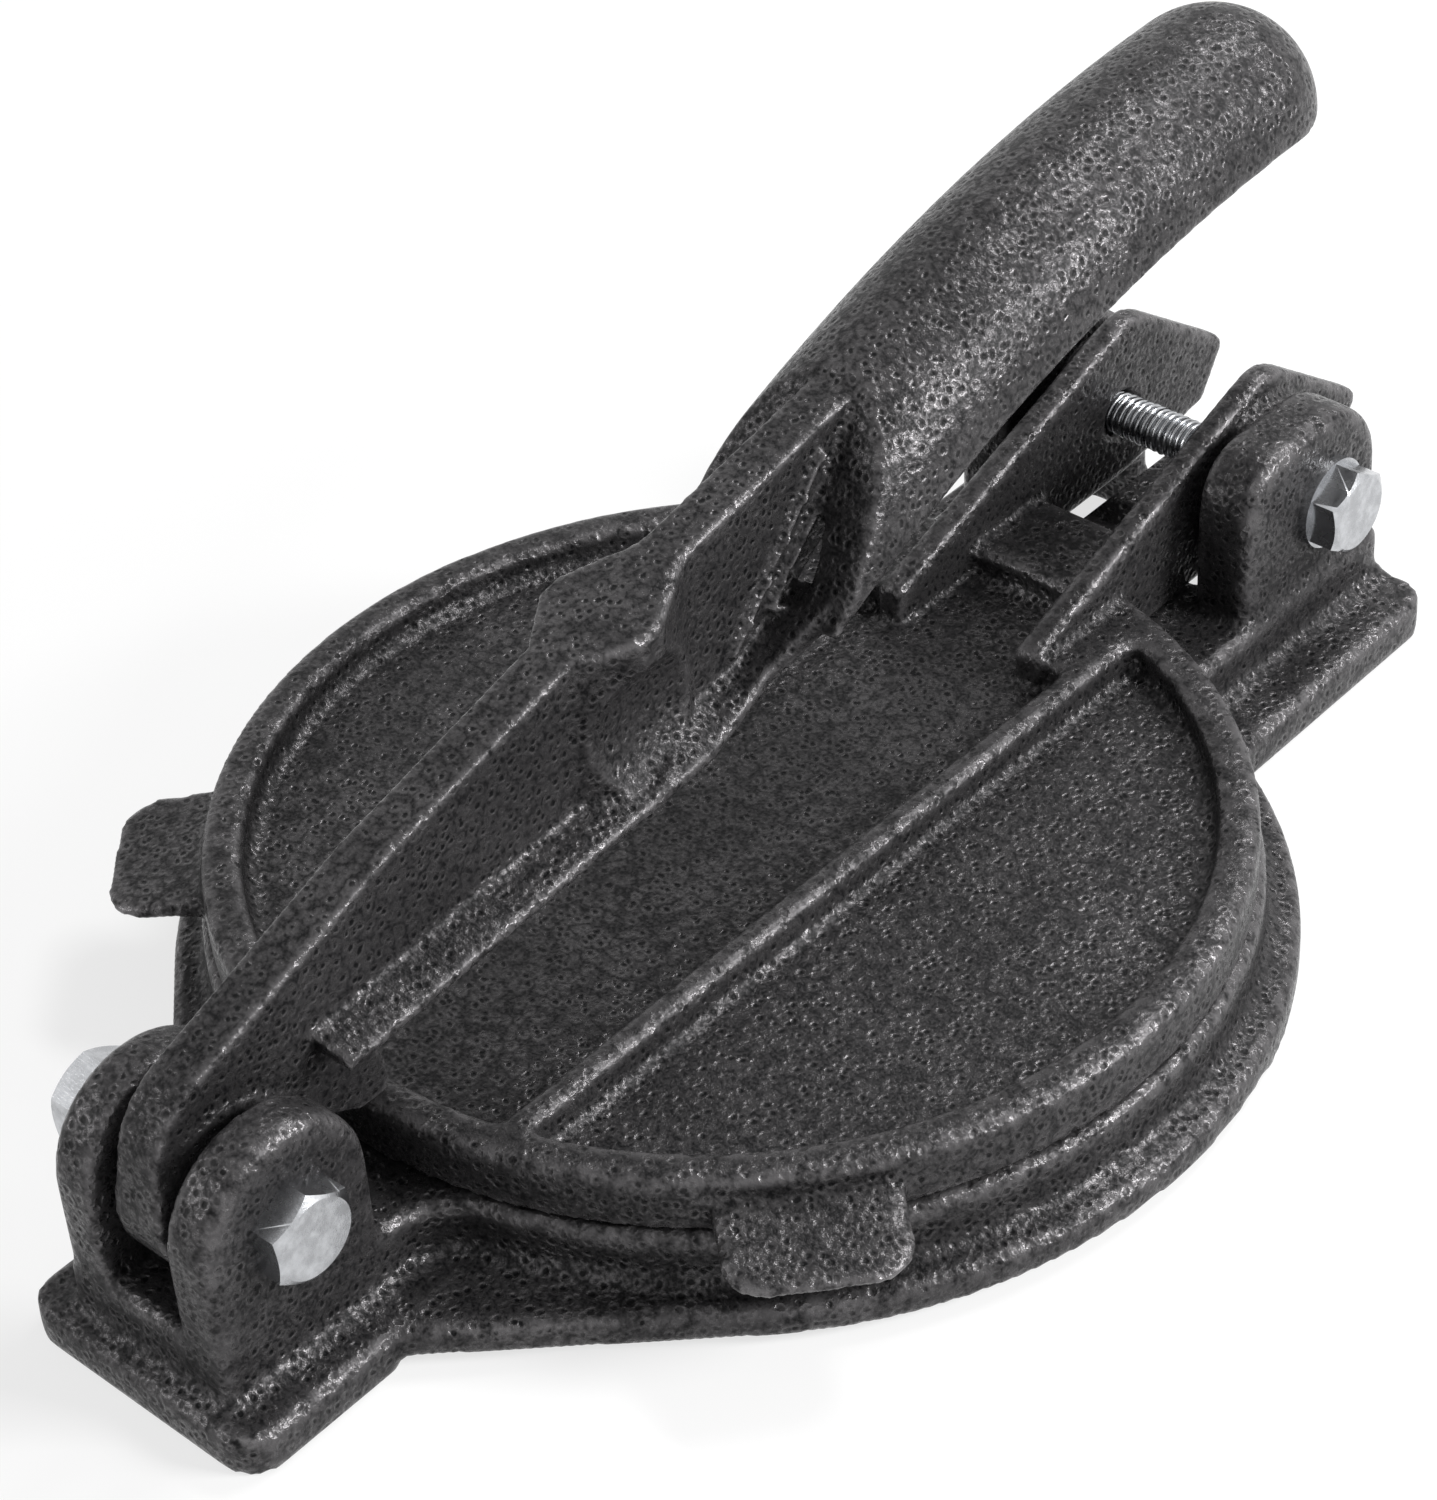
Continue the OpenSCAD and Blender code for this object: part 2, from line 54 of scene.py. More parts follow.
import bmesh
import bpy
from bpy.props import FloatProperty, FloatVectorProperty, IntProperty, PointerProperty
from mathutils import Matrix, Vector

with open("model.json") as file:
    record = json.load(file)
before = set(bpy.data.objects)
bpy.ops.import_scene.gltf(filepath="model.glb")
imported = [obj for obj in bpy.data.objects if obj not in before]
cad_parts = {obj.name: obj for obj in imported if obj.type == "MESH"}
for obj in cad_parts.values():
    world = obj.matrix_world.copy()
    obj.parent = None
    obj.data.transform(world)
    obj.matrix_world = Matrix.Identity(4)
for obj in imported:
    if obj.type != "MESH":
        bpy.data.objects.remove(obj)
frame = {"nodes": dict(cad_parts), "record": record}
CAD_BOX = [list(corner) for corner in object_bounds()]
JOINTS = {joint["name"]: joint for joint in frame["record"]["behaviour"]["joints"]}
LEVER_AXIS = Vector(JOINTS["lever_pivot"]["pos_m"])
HINGE_AXIS = Vector(JOINTS["plate_hinge"]["pos_m"])
LEVER_AXIS_TO_CENTRE = 0.1345
PLATE_CENTRE_Y = LEVER_AXIS.y + LEVER_AXIS_TO_CENTRE
MM = 0.001
WELD = 0.00001

# The lever's throat and its hollows are in millimetres, with Y from the middle of the plates.
# The throat, where the lever's foot runs up into the handle: place along Y, half width, and the
# heights of its underside, of its edge and of the web's root
THROAT = (
    (-24, 13.9, 61.2, 63.0, 66.6), (-16, 13.8, 61.8, 64.0, 67.6), (-8, 12.8, 63.4, 66.6, 68.6),
    (1, 12.4, 67.0, 70.8, 70.6), (9, 15.5, 71.8, 77.6, 75.0), (16, 19.5, 78.4, 84.5, 80.0))
# Side view of the web inside the throat
THROAT_WEB = (
    (-22, 63), (-14, 62.6), (6, 68), (24, 82), (50, 97), (86, 121.2), (78, 121), (20, 90),
    (-14, 73), (-22, 73))
WEB_HALF = 5
# Folds on the web's sides inside the mouth: lower and upper end of each, and its height
THROAT_FOLDS = (
    ((-2, 72), (26, 104), 2.4), ((8, 77), (32, 103), 2.9), ((17, 84), (37, 104), 1.4))
# Half the width of a fold, and how deep it is rooted in the web
FOLD_HALF, FOLD_ROOT = 1.3, 1
# Scoop under each side of the thumb rest: its middle and its half lengths along X, Y and Z
THUMB_SCOOP = ((16, -28, 76), (11, 26, 15.5))
# The scoops stop just above the lever's foot: a point of that floor, and its rise along Y
SCOOP_FLOOR = ((-24, 64.5), 0.2)

# Hammered enamel, by the distance from the middle of a hammer mark as a share of its cell: each
# band goes from none to full
RING_INNER, RING_OUTER = (0.2, 0.36), (0.72, 0.42)
PIT_BAND, RISE_BAND = (0.28, 0.12), (0.05, 0.5)
# Roughness of the enamel from its pits to its flake
ENAMEL_ROUGHNESS = (0.36, 0.2)
# Painted highlight along convex edges: how much lighter it makes the enamel, and how far it shows
HIGHLIGHT_GAIN, HIGHLIGHT_SHARE = 2.4, 0.75

# The bolts: radius of the shank, and how far the thread stays inside it
BOLT_RADIUS = 0.005
THREAD_CLEARANCE = 0.0001

# The camera: its turn, height and roll in degrees, its focal length as a multiple of the sensor,
# the point that it looks past and its distance from it
CAMERA_ANGLES = (43.9376, 39.0463, -3.9645)
SENSOR_SIZE = 36.0
FOCAL_RATIO = 3875.54 / 1500.0
CAMERA_AIM = Vector((0.00264, PLATE_CENTRE_Y - 0.00428, 0.05))
CAMERA_DISTANCE = 0.73245

# The lamps: place, then length and width in metres. All of them point at one place
LAMP_TARGET = Vector((0, 0, 0.06))
KEY_LAMP = ((1.0, 0.47, 0.66), 0.4, 0.4)
BACK_LAMP = ((0.08, 0.72, 1.02), 0.55, 0.2)
FRONT_LAMP = ((-0.66, -0.92, 0.55), 0.4, 0.4)
FLOOR_HALF = 6.0


# ---------------------------------------------------------------- settings


class CastingSettings(bpy.types.PropertyGroup):
    """Finish of the three castings"""

    base_grain: FloatProperty(
        name="Base grain", description="Cell size used to round the edges of the base casting",
        default=0.00128125, min=0.0008, max=0.004, unit="LENGTH")
    plate_grain: FloatProperty(
        name="Plate grain", description="Cell size used to round the edges of the top plate",
        default=0.0011, min=0.0008, max=0.004, unit="LENGTH")
    lever_grain: FloatProperty(
        name="Lever grain", description="Cell size used to round the edges of the lever",
        default=0.0008, min=0.0006, max=0.004, unit="LENGTH")
    softening: IntProperty(
        name="Softening", description="Smoothing passes over the cast edges",
        default=6, min=0, max=20)
    enamel_dark: FloatVectorProperty(
        name="Enamel pits", description="Colour in the pits of the hammered enamel",
        default=(0.004, 0.004, 0.0045), subtype="COLOR", min=0.0, max=1.0)
    enamel_light: FloatVectorProperty(
        name="Enamel veins", description="Colour of the metal flake around the pits",
        default=(0.085, 0.082, 0.084), subtype="COLOR", min=0.0, max=1.0)
    flake: FloatProperty(
        name="Metal flake", description="How metallic the veins are",
        default=0.85, min=0.0, max=1.0, subtype="FACTOR")
    cell_size: FloatProperty(
        name="Hammer cell", description="Spacing of the pits in the hammered enamel",
        default=0.0022, min=0.0008, max=0.006, unit="LENGTH")
    relief: FloatProperty(
        name="Relief", description="Height of the hammered relief",
        default=0.0004, min=0.0, max=0.002, unit="LENGTH")


class HardwareSettings(bpy.types.PropertyGroup):
    """Sizes and finish of the bolts, nuts and washers"""

    thread_pitch: FloatProperty(
        name="Thread pitch", description="Distance between two thread crests",
        default=0.0015, min=0.0008, max=0.003, unit="LENGTH")
    thread_depth: FloatProperty(
        name="Thread depth", description="Depth of the thread below its crest",
        default=0.00085, min=0.0003, max=0.0015, unit="LENGTH")
    zinc_colour: FloatVectorProperty(
        name="Zinc", description="Colour of the bright zinc plating",
        default=(0.56, 0.57, 0.59), subtype="COLOR", min=0.0, max=1.0)


class StageSettings(bpy.types.PropertyGroup):
    """Floor, lamps and camera"""

    floor_colour: FloatVectorProperty(
        name="Floor", description="Colour of the studio floor",
        default=(0.93, 0.93, 0.93), subtype="COLOR", min=0.0, max=1.0)
    floor_whiteness: FloatProperty(
        name="Floor whiteness", description="How far the floor's shading gives way to white",
        default=0.72, min=0.0, max=1.0, subtype="FACTOR")
    key_power: FloatProperty(
        name="Key lamp", description="Power of the soft lamp on the right",
        default=19.0, min=0.0, unit="POWER")
    back_power: FloatProperty(
        name="Back lamp", description="Power of the strip lamp behind",
        default=10.0, min=0.0, unit="POWER")
    front_power: FloatProperty(
        name="Front lamp", description="Power of the weak lamp in front",
        default=3.0, min=0.0, unit="POWER")
    world_strength: FloatProperty(
        name="Ambient", description="Strength of the even ambient light", default=0.28, min=0.0)


# ---------------------------------------------------------------- shader groups


def link(tree, output, target):
    tree.links.new(output, target)


def add_node(tree, kind, **values):
    """A new node with the named inputs set or linked."""
    node = tree.nodes.new(kind)
    for label, value in values.items():
        socket = node.inputs[label.replace("_", " ")]
        if isinstance(value, bpy.types.NodeSocket):
            link(tree, value, socket)
        else:
            socket.default_value = value
    return node


def new_group(name, inputs, outputs):
    """An empty shader node group with named sockets: {name: (type, default)}."""
    group = bpy.data.node_groups.new(name, "ShaderNodeTree")
    for label, (kind, default) in inputs.items():
        socket = group.interface.new_socket(label, in_out="INPUT", socket_type=kind)
        socket.default_value = default
    for label, kind in outputs.items():
        group.interface.new_socket(label, in_out="OUTPUT", socket_type=kind)
    return group, group.nodes.new("NodeGroupInput"), group.nodes.new("NodeGroupOutput")


def maths(tree, operation, a, b, clamp=False):
    node = tree.nodes.new("ShaderNodeMath")
    node.operation, node.use_clamp = operation, clamp
    for socket, value in zip(node.inputs, (a, b)):
        if isinstance(value, (int, float)):
            socket.default_value = value
        else:
            link(tree, value, socket)
    return node.outputs[0]


def ramp(tree, value, low, high, out_low=0.0, out_high=1.0):
    """A smooth step from out_low to out_high as the value goes from low to high."""
    node = add_node(tree, "ShaderNodeMapRange", Value=value, From_Min=low, From_Max=high,
                    To_Min=out_low, To_Max=out_high)
    node.interpolation_type = "SMOOTHSTEP"
    return node.outputs["Result"]


def object_coordinates(tree):
    return tree.nodes.new("ShaderNodeTexCoord").outputs["Object"]


def noise(tree, coords, scale, detail=2.0, roughness=0.5):
    return add_node(tree, "ShaderNodeTexNoise", Vector=coords, Scale=scale, Detail=detail,
                    Roughness=roughness)


def hammered_enamel_group():
    """Hammered enamel: a height, a mask of its light rings and grain, and slow variation."""
    group, entry, result = new_group(
        "hammered_enamel",
        {"Cells per metre": ("NodeSocketFloat", 550.0),
         "Grain per metre": ("NodeSocketFloat", 1300.0)},
        {"Height": "NodeSocketFloat", "Veins": "NodeSocketFloat", "Drift": "NodeSocketFloat"})
    coords = object_coordinates(group)
    wander = noise(group, coords, 420.0, 1.0)
    centred = group.nodes.new("ShaderNodeVectorMath")
    centred.operation = "SUBTRACT"
    centred.inputs[1].default_value = (0.5, 0.5, 0.5)
    link(group, wander.outputs["Color"], centred.inputs[0])
    bent = group.nodes.new("ShaderNodeVectorMath")
    bent.operation = "MULTIPLY_ADD"
    bent.inputs[1].default_value = (0.0012, 0.0012, 0.0012)
    link(group, centred.outputs[0], bent.inputs[0])
    link(group, coords, bent.inputs[2])
    cells = add_node(group, "ShaderNodeTexVoronoi", Vector=bent.outputs[0],
                     Scale=entry.outputs["Cells per metre"], Randomness=0.9)
    reach = cells.outputs["Distance"]
    drift = ramp(group, noise(group, coords, 45.0, 3.0, 0.6).outputs["Fac"], 0.34, 0.66)
    ring = maths(
        group, "MULTIPLY", ramp(group, reach, *RING_INNER), ramp(group, reach, *RING_OUTER))
    pit = ramp(group, reach, *PIT_BAND)
    speck = noise(group, coords, entry.outputs["Grain per metre"], 3.0, 0.65)
    grain = ramp(group, speck.outputs["Fac"], 0.36, 0.68)
    rings = maths(group, "MULTIPLY", ring, ramp(group, drift, 0.0, 1.0, 0.42, 0.6))
    light = maths(group, "ADD", maths(group, "MULTIPLY", grain, 0.5), rings)
    veins = maths(group, "SUBTRACT", light, maths(group, "MULTIPLY", pit, 0.45), clamp=True)
    link(group, veins, result.inputs["Veins"])
    rise = maths(group, "ADD", maths(group, "MULTIPLY", ramp(group, reach, *RISE_BAND), 0.6),
                 maths(group, "MULTIPLY", speck.outputs["Fac"], 0.5))
    link(group, rise, result.inputs["Height"])
    link(group, drift, result.inputs["Drift"])
    return group


def edge_highlight_group():
    """A mask of painted highlight that is 1 along convex edges, broken up by noise."""
    group, entry, result = new_group(
        "painted_edge_highlight", {"Width": ("NodeSocketFloat", 0.06)}, {"Highlight": "NodeSocketFloat"})
    point = group.nodes.new("ShaderNodeNewGeometry").outputs["Pointiness"]
    rise = maths(group, "DIVIDE", maths(group, "SUBTRACT", point, 0.5), entry.outputs["Width"],
                 clamp=True)
    broken = noise(group, object_coordinates(group), 260.0, 3.0, 0.7)
    link(group, maths(group, "MULTIPLY", rise, ramp(group, broken.outputs["Fac"], 0.35, 0.6)),
         result.inputs["Highlight"])
    return group


def mix_colour(tree, factor, a, b):
    """A colour from a to b as the factor goes from 0 to 1; each is a colour or a socket."""
    node = tree.nodes.new("ShaderNodeMix")
    node.data_type = "RGBA"
    link(tree, factor, node.inputs["Factor"])
    for label, value in (("A", a), ("B", b)):
        socket = [s for s in node.inputs if s.name == label and s.type == "RGBA"][0]
        if isinstance(value, (tuple, list)):
            socket.default_value = (*value, 1.0)
        else:
            link(tree, value, socket)
    return [s for s in node.outputs if s.type == "RGBA"][0]


def new_material(name):
    """An empty material with its tree and its Principled BSDF."""
    material = bpy.data.materials.new(name)
    material.use_nodes = True
    tree = material.node_tree
    tree.nodes.clear()
    shader = tree.nodes.new("ShaderNodeBsdfPrincipled")
    add_node(tree, "ShaderNodeOutputMaterial", Surface=shader.outputs[0])
    return material, tree, shader


def place_group(tree, group, **values):
    """A node of the shader group, with the named inputs set."""
    node = tree.nodes.new("ShaderNodeGroup")
    node.node_tree = group
    for label, value in values.items():
        node.inputs[label.replace("_", " ")].default_value = value
    return node


def add_bump(tree, shader, height, distance):
    """Raises the shader's surface by the height, whose full step is the distance."""
    bump = add_node(tree, "ShaderNodeBump", Height=height, Distance=distance, Strength=1.0)
    link(tree, bump.outputs["Normal"], shader.inputs["Normal"])


def hammertone_material(settings):
    """Black hammered enamel over cast iron, with a painted highlight along convex edges."""
    material, tree, shader = new_material("hammertone_enamel")
    enamel = place_group(tree, hammered_enamel_group(), Cells_per_metre=1.0 / settings.cell_size)
    # Painted highlight: a mask that lightens the enamel along convex edges
    highlight_mask_node = place_group(tree, edge_highlight_group(), Width=0.07)
    light = tuple(settings.enamel_light)
    dull = tuple(c * 0.8 for c in light)
    veins = mix_colour(tree, enamel.outputs["Drift"], dull, light)
    # The painted highlight along convex edges also makes them more metallic and glossier, with the
    # flake
    painted_highlight = maths(tree, "MULTIPLY", highlight_mask_node.outputs["Highlight"], HIGHLIGHT_SHARE)
    flake_and_highlight = maths(tree, "MAXIMUM", enamel.outputs["Veins"], painted_highlight)
    colour = mix_colour(tree, flake_and_highlight, tuple(settings.enamel_dark), veins)
    # Lightens the colour along convex edges as a painted highlight
    highlighted_colour = mix_colour(tree, painted_highlight, colour, tuple(min(1.0, c * HIGHLIGHT_GAIN) for c in light))
    link(tree, highlighted_colour, shader.inputs["Base Color"])
    link(tree, ramp(tree, flake_and_highlight, 0.0, 1.0, *ENAMEL_ROUGHNESS), shader.inputs["Roughness"])
    link(tree, maths(tree, "MULTIPLY", flake_and_highlight, settings.flake), shader.inputs["Metallic"])
    shader.inputs["Specular IOR Level"].default_value = 0.1
    add_bump(tree, shader, enamel.outputs["Height"], settings.relief)
    return material


def zinc_material(settings):
    """Bright zinc plating with faint drawing marks and a cloudy tone that is darker in patches."""
    material, tree, shader = new_material("zinc_plate")
    coords = object_coordinates(tree)
    cloud = noise(tree, coords, 300.0, 4.0, 0.6)
    streak = add_node(tree, "ShaderNodeMapping", Vector=coords, Scale=(0.2, 1.0, 1.0))
    lines = noise(tree, streak.outputs[0], 2600.0, 2.0, 0.6)
    base = tuple(settings.zinc_colour)
    shade = mix_colour(tree, ramp(tree, cloud.outputs["Fac"], 0.35, 0.7),
                       tuple(c * 0.72 for c in base), base)
    link(tree, shade, shader.inputs["Base Color"])
    link(tree, ramp(tree, cloud.outputs["Fac"], 0.3, 0.7, 0.3, 0.2), shader.inputs["Roughness"])
    shader.inputs["Metallic"].default_value = 1.0
    add_bump(tree, shader, lines.outputs["Fac"], 0.00004)
    return material


def direct_rays(tree):
    """1 for the rays that show the background: to the camera, in gloss and through glass."""
    path = tree.nodes.new("ShaderNodeLightPath")
    mirrored = maths(
        tree, "MAXIMUM", path.outputs["Is Camera Ray"], path.outputs["Is Glossy Ray"])
    return maths(tree, "MAXIMUM", mirrored, path.outputs["Is Transmission Ray"])


def mix_shaders(tree, share, first, second, output):
    """The output's surface: the first shader giving way to the second by the share."""
    blend = add_node(tree, "ShaderNodeMixShader", Fac=share)
    link(tree, first.outputs[0], blend.inputs[1])
    link(tree, second.outputs[0], blend.inputs[2])
    link(tree, blend.outputs[0], output.inputs["Surface"])


def stage_material(name, colour, whiteness):
    """A matt surface whose shading gives way to plain white by the given share."""
    material, tree, shader = new_material(name)
    output = [node for node in tree.nodes if node.type == "OUTPUT_MATERIAL"][0]
    white = add_node(tree, "ShaderNodeEmission", Strength=1.0)
    share = maths(tree, "MULTIPLY", direct_rays(tree), whiteness)
    mix_shaders(tree, share, shader, white, output)
    grain = noise(tree, object_coordinates(tree), 60.0, 2.0)
    tint = mix_colour(tree, grain.outputs["Fac"], tuple(c * 0.995 for c in colour), colour)
    link(tree, tint, shader.inputs["Base Color"])
    shader.inputs["Roughness"].default_value = 0.9
    return material


def material(name, maker, settings):
    """The material of that name, made on its first use."""
    return bpy.data.materials.get(name) or maker(settings)


# ---------------------------------------------------------------- mesh helpers


def body_of_node(node):
    """The body that the record gives the node."""
    for body, nodes in frame["record"]["behaviour"]["bodies"].items():
        if node in nodes:
            return body
    raise RuntimeError("no body holds the node " + node)


def mesh_from(shape, name):
    """A mesh of that name from a bmesh, which is freed."""
    mesh = bpy.data.meshes.new(name)
    shape.to_mesh(mesh)
    shape.free()
    return mesh


def merged_copy(node):
    """A welded copy of a node's mesh."""
    mesh = frame["nodes"][node].data.copy()
    shape = bmesh.new()
    shape.from_mesh(mesh)
    bmesh.ops.remove_doubles(shape, verts=shape.verts, dist=WELD)
    shape.to_mesh(mesh)
    shape.free()
    return mesh


def joined_mesh(name, meshes):
    """One mesh that holds all of them, side by side."""
    shape = bmesh.new()
    for mesh in meshes:
        shape.from_mesh(mesh)
    return mesh_from(shape, name)


def add_object(name, mesh):
    piece = bpy.data.objects.new(name, mesh)
    bpy.context.scene.collection.objects.link(piece)
    return piece


def bake(piece):
    """Applies the piece's modifiers, so that only a plain mesh is left."""
    graph = bpy.context.evaluated_depsgraph_get()
    mesh = bpy.data.meshes.new_from_object(piece.evaluated_get(graph))
    piece.modifiers.clear()
    piece.data = mesh
    return piece


def dress(piece, body, finish):
    """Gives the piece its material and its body."""
    piece.data.materials.clear()
    piece.data.materials.append(finish)
    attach(piece, body)


# ---------------------------------------------------------------- castings


def loft(shape, rings):
    """A closed solid through rings of the same number of points."""
    loops = [[shape.verts.new(Vector(point) * MM) for point in ring] for ring in rings]
    for near, far in zip(loops, loops[1:]):
        for i in range(len(near)):
            j = (i + 1) % len(near)
            shape.faces.new((near[i], near[j], far[j], far[i]))
    shape.faces.new(loops[0][::-1])
    shape.faces.new(loops[-1])


def lever_throat():
    """The solid parts that close the lever's throat, where its foot and web enter the handle."""
    shift = PLATE_CENTRE_Y / MM
    shape = bmesh.new()
    loft(shape, [[(-half, y + shift, low), (half, y + shift, low), (half, y + shift, edge),
                  (WEB_HALF, y + shift, root), (-WEB_HALF, y + shift, root),
                  (-half, y + shift, edge)]
                 for y, half, low, edge, root in THROAT])
    loft(shape, [[(x, y + shift, z) for y, z in THROAT_WEB] for x in (-WEB_HALF, WEB_HALF)])
    for (y0, z0), (y1, z1), height in THROAT_FOLDS:
        along = Vector((0, y1 - y0, z1 - z0)).normalized()
        across = Vector((0, along.z, -along.y)) * FOLD_HALF
        ends = [Vector((0, y0 + shift, z0)), Vector((0, y1 + shift, z1))]
        for side in (-1, 1):
            rings = []
            for end in ends:
                crest = end + Vector((side * (WEB_HALF + height), 0, 0))
                foot = end + Vector((side * (WEB_HALF - FOLD_ROOT), 0, 0))
                rings.append([foot - across, crest, foot + across])
            loft(shape, rings)
    bmesh.ops.recalc_face_normals(shape, faces=shape.faces)
    return mesh_from(shape, "lever_throat")


def thumb_scoops():
    """Two rounded cutters that hollow the lever under its thumb rest."""
    (x, y, z), reach = THUMB_SCOOP
    shape = bmesh.new()
    for side in (-1, 1):
        turn = Matrix.Translation(Vector((side * x, y + PLATE_CENTRE_Y / MM, z)) * MM)
        turn @= Matrix.Diagonal((*(r * MM for r in reach), 1.0))
        bmesh.ops.create_icosphere(shape, subdivisions=4, radius=1.0, matrix=turn)
    (y, z), rise = SCOOP_FLOOR
    cut = bmesh.ops.bisect_plane(
        shape, geom=shape.verts[:] + shape.edges[:] + shape.faces[:], clear_inner=True,
        plane_co=Vector((0, y * MM + PLATE_CENTRE_Y, z * MM)), plane_no=Vector((0, -rise, 1)))
    rim = [part for part in cut["geom_cut"] if isinstance(part, bmesh.types.BMEdge)]
    bmesh.ops.edgeloop_fill(shape, edges=rim)
    bmesh.ops.recalc_face_normals(shape, faces=shape.faces)
    return mesh_from(shape, "thumb_scoops")


def carve(mesh, cutter):
    """The mesh less the cutter."""
    block, tool = add_object("block", mesh), add_object("tool", cutter)
    modifier = block.modifiers.new("scoop", "BOOLEAN")
    modifier.operation, modifier.solver, modifier.object = "DIFFERENCE", "EXACT", tool
    result = bake(block).data
    for helper in (block, tool):
        bpy.data.objects.remove(helper)
    return result


def soft_casting(node, mesh, cell, passes, finish):
    """A casting with the rounded edges and filled corners that a sand mould gives."""
    piece = add_object(node + "_casting", mesh)
    voxels = piece.modifiers.new("cast skin", "REMESH")
    voxels.mode, voxels.voxel_size, voxels.adaptivity = "VOXEL", cell, 0.0
    voxels.use_smooth_shade = True
    soften = piece.modifiers.new("soft edges", "SMOOTH")
    soften.factor, soften.iterations = 0.5, passes
    bake(piece)
    piece.data.polygons.foreach_set("use_smooth", [True] * len(piece.data.polygons))
    piece.data.update()
    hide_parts(node)
    dress(piece, body_of_node(node), finish)


class PRESS_OT_base_casting(bpy.types.Operator):
    """Make the base casting with its soft cast edges and hammered enamel"""

    bl_idname = "tortilla_press.base_casting"
    bl_label = "Base Casting"

    def execute(self, context):
        look = context.scene.press_castings
        soft_casting("base", merged_copy("base"), look.base_grain, look.softening,
                     material("hammertone_enamel", hammertone_material, look))
        return {"FINISHED"}


class PRESS_OT_plate_casting(bpy.types.Operator):
    """Make the hinged top plate with its soft cast edges and hammered enamel"""

    bl_idname = "tortilla_press.plate_casting"
    bl_label = "Top Plate Casting"

    def execute(self, context):
        look = context.scene.press_castings
        soft_casting("top_plate", merged_copy("top_plate"), look.plate_grain, look.softening,
                     material("hammertone_enamel", hammertone_material, look))
        return {"FINISHED"}


class PRESS_OT_lever_casting(bpy.types.Operator):
    """Make the lever with its soft cast edges and hammered enamel"""

    bl_idname = "tortilla_press.lever_casting"
    bl_label = "Lever Casting"

    def execute(self, context):
        look = context.scene.press_castings
        web = carve(merged_copy("lever"), thumb_scoops())
        soft_casting("lever", joined_mesh("lever", (web, lever_throat())), look.lever_grain,
                     look.softening, material("hammertone_enamel", hammertone_material, look))
        return {"FINISHED"}


# ---------------------------------------------------------------- bolts


def thread_tree(finish):
    """Geometry Nodes: a round core with a helical thread, along +X from the origin."""
    tree = bpy.data.node_groups.new("screw_thread", "GeometryNodeTree")
    face = tree.interface
    face.new_socket("Geometry", in_out="INPUT", socket_type="NodeSocketGeometry")
    sizes = {"Crest radius": BOLT_RADIUS, "Depth": 0.0008, "Pitch": 0.0015, "Length": 0.05}
    for label, value in sizes.items():
        face.new_socket(label, in_out="INPUT", socket_type="NodeSocketFloat").default_value = value
    face.new_socket("Geometry", in_out="OUTPUT", socket_type="NodeSocketGeometry")
    entry, result = tree.nodes.new("NodeGroupInput"), tree.nodes.new("NodeGroupOutput")
    crest, depth, pitch, length = (entry.outputs[label] for label in sizes)

    def raised(geometry, height):
        rise = add_node(tree, "ShaderNodeCombineXYZ", Z=height)
        return add_node(tree, "GeometryNodeTransform", Geometry=geometry,
                        Translation=rise.outputs[0]).outputs[0]

    root = maths(tree, "SUBTRACT", crest, depth)
    middle = maths(tree, "ADD", root, maths(tree, "MULTIPLY", depth, 0.15))
    climb = maths(tree, "SUBTRACT", length, pitch)
    spiral = add_node(
        tree, "GeometryNodeCurveSpiral", Resolution=28, Height=climb,
        Rotations=maths(tree, "DIVIDE", climb, pitch), Start_Radius=middle, End_Radius=middle)
    ridge = add_node(tree, "GeometryNodeCurvePrimitiveCircle", Resolution=4,
                     Radius=maths(tree, "MULTIPLY", depth, 0.85))
    sweep = add_node(tree, "GeometryNodeCurveToMesh", Curve=spiral.outputs[0],
                     Profile_Curve=ridge.outputs[0], Fill_Caps=True)
    core = add_node(
        tree, "GeometryNodeMeshCylinder", Vertices=48, Depth=length,
        Radius=maths(tree, "ADD", root, maths(tree, "MULTIPLY", depth, 0.1)))
    both = tree.nodes.new("GeometryNodeJoinGeometry")
    for part, height in ((sweep.outputs[0], maths(tree, "MULTIPLY", pitch, 0.5)),
                         (core.outputs["Mesh"], maths(tree, "MULTIPLY", length, 0.5))):
        link(tree, raised(part, height), both.inputs[0])
    turn = add_node(tree, "GeometryNodeTransform", Geometry=both.outputs[0],
                    Rotation=(0.0, math.radians(90), 0.0))
    real = add_node(tree, "GeometryNodeRealizeInstances", Geometry=turn.outputs[0])
    skin = add_node(tree, "GeometryNodeSetMaterial", Geometry=real.outputs[0], Material=finish)
    link(tree, skin.outputs[0], result.inputs[0])
    return tree


